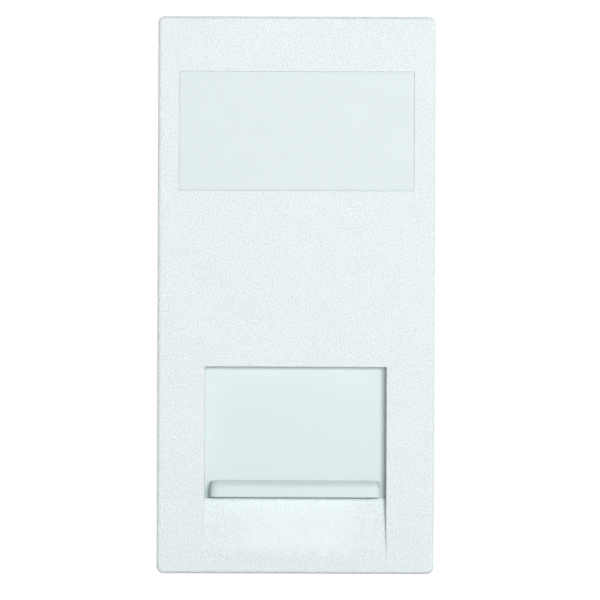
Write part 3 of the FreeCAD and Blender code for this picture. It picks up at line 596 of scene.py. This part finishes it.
def make_peg_stakes():
    """The jack's pegs, melted over the board's back into low domes."""
    foot, crown, curl = 1.38 * MM, 0.72, 0.66
    base, swell = 0.12 * MM, 0.05 * MM
    dimple, dimple_rise = 0.3 * MM, 0.02 * MM
    rings, steps = 8, 36
    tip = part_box("jack_housing")[1].y - BOARD_BACK
    jack_middle = centre_of("jack_housing")[0]
    profile = [(foot, BOARD_BACK)]
    for ring in range(1, rings + 1):
        turn = ring / rings * math.pi / 2
        rise = base + (tip + swell - base) * math.sin(turn)
        profile.append(((crown + curl * math.cos(turn)) * MM, BOARD_BACK + rise))
    profile.append((dimple, BOARD_BACK + tip + dimple_rise))
    work = bmesh.new()
    for side in (-1, 1):
        add_lathe(work, profile, (jack_middle + side * PEG_SPACING / 2, PEG_HEIGHT), steps)
    show_mesh("peg_stakes", work, black)


def make_digits():
    """Terminal numbers, raised a little on the outer side of each block."""
    size, raised, edge = 2.3 * MM, 0.06 * MM, 0.02 * MM
    behind_board = 2.0 * MM
    for side, numbers in (("left", (1, 2, 3)), ("right", (4, 5, 6))):
        low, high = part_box(f"terminal_block_{side}")
        face, way = (low.x, -1) if side == "left" else (high.x, 1)
        turn = Matrix(((0, 0, way), (way, 0, 0), (0, 1, 0))).to_4x4()
        for number in numbers:
            data = bpy.data.curves.new(f"digit_{number}", "FONT")
            data.body = str(number)
            data.size = size
            data.align_x, data.align_y = "CENTER", "CENTER"
            data.extrude = raised
            data.bevel_depth = edge
            spot = Vector((face, BOARD_BACK + behind_board, BLADES[number - 1][1]))
            place = Matrix.Translation(spot) @ turn
            show(f"digit_{number}", data, ivory, place)


def make_screws():
    """Pan-head screws with a tapered cross recess, in the place of the plain ones."""
    core, neck = 0.85 * MM, 0.87 * MM
    arm, arm_slope = 0.42 * MM, 0.14 * MM
    reach, reach_slope = 1.25 * MM, 0.3 * MM
    recess_depth = 0.85 * MM
    rim_share, crown_share = 0.55, 0.45
    rings, steps = 26, 72
    low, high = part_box("board_screws")
    head = high.y - BOARD_BACK
    radius = (high.z - low.z) / 2
    height = (low.z + high.z) / 2

    def in_recess(out, turn):
        """0 outside the cross and 1 on its floor."""
        across = min(abs(math.cos(turn)), abs(math.sin(turn))) * out * radius
        return clamped((arm - across) / arm_slope) * clamped((reach - out * radius) / reach_slope)

    levels = [
        [(core, turn, low.y) for turn in turns_of(steps)],
        [(neck, turn, BOARD_BACK) for turn in turns_of(steps)],
        [(radius, turn, BOARD_BACK) for turn in turns_of(steps)],
    ]
    for ring in range(rings):
        out = 1 - ring / (rings - 0.5)
        crown = rim_share + crown_share * math.sqrt(max(0.0, 1 - out**3))
        top = BOARD_BACK + head * crown
        levels.append([
            (out * radius, turn, top - in_recess(out, turn) * recess_depth)
            for turn in turns_of(steps)
        ])
    work = bmesh.new()
    for x in (low.x + radius, high.x - radius):
        add_skin(work, [
            [(x + out * math.cos(turn), y, height + out * math.sin(turn)) for out, turn, y in level]
            for level in levels
        ])
    screws = show_mesh("pan_head_screws", work, zinc)
    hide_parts("board_screws")


make_spring()
make_solder()
make_tracks()
make_pads()
make_peg_stakes()
make_digits()
make_screws()


# Stage, light and camera

FACE_HEIGHT = cad_box[1].z - cad_box[0].z
PHOTO_SIZE = 600
FACE_TOP, FACE_BOTTOM = 16.5, 573.5
FACE_MIDDLE = (296.0, 295.0)
PHOTO_ROLL = math.radians(0.22)
CAMERA_DISTANCE = 0.42
SENSOR = 36.0

# Degrees to the right of the front and up, distance, size, brightness of white that faces it
LAMPS = {
    "key": (16, 7.5, 0.55, (0.165, 0.132), 0.645),
    "right_kicker": (145, 22, 0.8, (0.5, 0.4), 0.36),
    "left_kicker": (-142, 22, 0.8, (0.5, 0.4), 0.42),
}
AMBIENT_FRONT, AMBIENT_BEHIND = 0.28, 0.6
AMBIENT_OVERHEAD = 0.8

FLOOR_HALF = 4.0
FLOOR_GAP = 0.05 * MM
FLOOR_DARK, FLOOR_LIGHT = (0.81, 0.81, 0.81, 1), (0.83, 0.83, 0.83, 1)
FLOOR_CLOUD = 0.15
FLOOR_GLOW = 0.58
FLOOR_FADE_STARTS, FLOOR_FADE_ENDS = 0.05, 0.16


def make_camera():
    """The photo's view: straight from the front, with the face where the photo has it."""
    pixels_per_metre = (FACE_BOTTOM - FACE_TOP) / FACE_HEIGHT
    middle = PHOTO_SIZE / 2
    data = bpy.data.cameras.new("camera")
    data.sensor_width = SENSOR
    data.lens = SENSOR * CAMERA_DISTANCE * pixels_per_metre / PHOTO_SIZE
    camera = bpy.data.objects.new("camera", data)
    across = (middle - FACE_MIDDLE[0]) / pixels_per_metre
    up = (FACE_MIDDLE[1] - middle) / pixels_per_metre
    upright = Matrix.Rotation(math.pi / 2, 4, "X")
    roll = Matrix.Rotation(PHOTO_ROLL, 4, "Z")
    place = Matrix.Translation((across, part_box("face_moulding")[0].y - CAMERA_DISTANCE, up))
    camera.matrix_world = place @ upright @ roll
    bpy.context.scene.collection.objects.link(camera)
    bpy.context.scene.camera = camera


def make_lamps():
    for name, (right, up, distance, size, level) in LAMPS.items():
        right, up = math.radians(right), math.radians(up)
        flat, rise = math.cos(up), math.sin(up)
        towards = Vector((math.sin(right) * flat, -math.cos(right) * flat, rise))
        data = bpy.data.lights.new(name, "AREA")
        data.shape = "RECTANGLE"
        data.size, data.size_y = size
        data.energy = level * math.pi**2 * distance**2
        lamp = bpy.data.objects.new(name, data)
        lamp.location = towards * distance
        lamp.rotation_mode = "QUATERNION"
        lamp.rotation_quaternion = (-towards).to_track_quat("-Z", "Y")
        bpy.context.scene.collection.objects.link(lamp)


def make_world():
    """Soft light, more from behind and less from above, with a white background to the eye."""
    world = bpy.data.worlds.new("studio")
    bpy.context.scene.world = world
    world.use_nodes = True
    made = Nodes(world.node_tree)
    made.nodes.clear()
    direction = made.add("ShaderNodeTexCoord").outputs["Generated"]
    towards = made.add("ShaderNodeSeparateXYZ", {"Vector": direction}).outputs
    depth = made.spread(towards["Y"], AMBIENT_FRONT, AMBIENT_BEHIND, -1, 1)
    height = made.spread(towards["Z"], 1, AMBIENT_OVERHEAD, 0, 1)
    strength = made.times(depth, height)
    ambient = made.add("ShaderNodeBackground", {"Color": WHITE_LIGHT, "Strength": strength})
    backdrop = made.add("ShaderNodeBackground", {"Color": WHITE_LIGHT, "Strength": 1.0})
    inputs = {0: made.seen_directly(), 1: ambient.outputs[0], 2: backdrop.outputs[0]}
    choice = made.add("ShaderNodeMixShader", inputs).outputs[0]
    made.add("ShaderNodeOutputWorld", {"Surface": choice})


def make_floor():
    """A white floor: it takes the object's shadow, and to the eye it glows white further out."""
    level = cad_box[0].z - FLOOR_GAP
    signs = ((-1, -1), (1, -1), (1, 1), (-1, 1))
    mesh = bpy.data.meshes.new("floor")
    corners = [(across * FLOOR_HALF, back * FLOOR_HALF, level) for across, back in signs]
    mesh.from_pydata(corners, [], [(0, 1, 2, 3)])
    floor = bpy.data.objects.new("floor", mesh)
    bpy.context.scene.collection.objects.link(floor)
    made = Surface("floor", Roughness=0.9, Specular_IOR_Level=0.0, Emission_Color=WHITE_LIGHT)
    made.feed("Base Color", made.mix(made.noise(FLOOR_CLOUD), FLOOR_DARK, FLOOR_LIGHT))
    seen = made.seen_directly()
    made.feed("Emission Strength", made.times(seen, FLOOR_GLOW))
    out = made.add("ShaderNodeVectorMath", {0: made.place}, operation="LENGTH").outputs["Value"]
    far = made.spread(out, 0.0, 1.0, FLOOR_FADE_STARTS, FLOOR_FADE_ENDS)
    white_light = made.add("ShaderNodeEmission", {"Color": WHITE_LIGHT, "Strength": 1.0})
    inputs = {0: made.times(seen, far), 1: made.shader.outputs[0], 2: white_light.outputs[0]}
    choice = made.add("ShaderNodeMixShader", inputs).outputs[0]
    made.links.new(choice, made.nodes["Material Output"].inputs["Surface"])
    mesh.materials.append(made.material)


make_camera()
make_lamps()
make_world()
make_floor()
bpy.context.scene.view_settings.view_transform = "Standard"
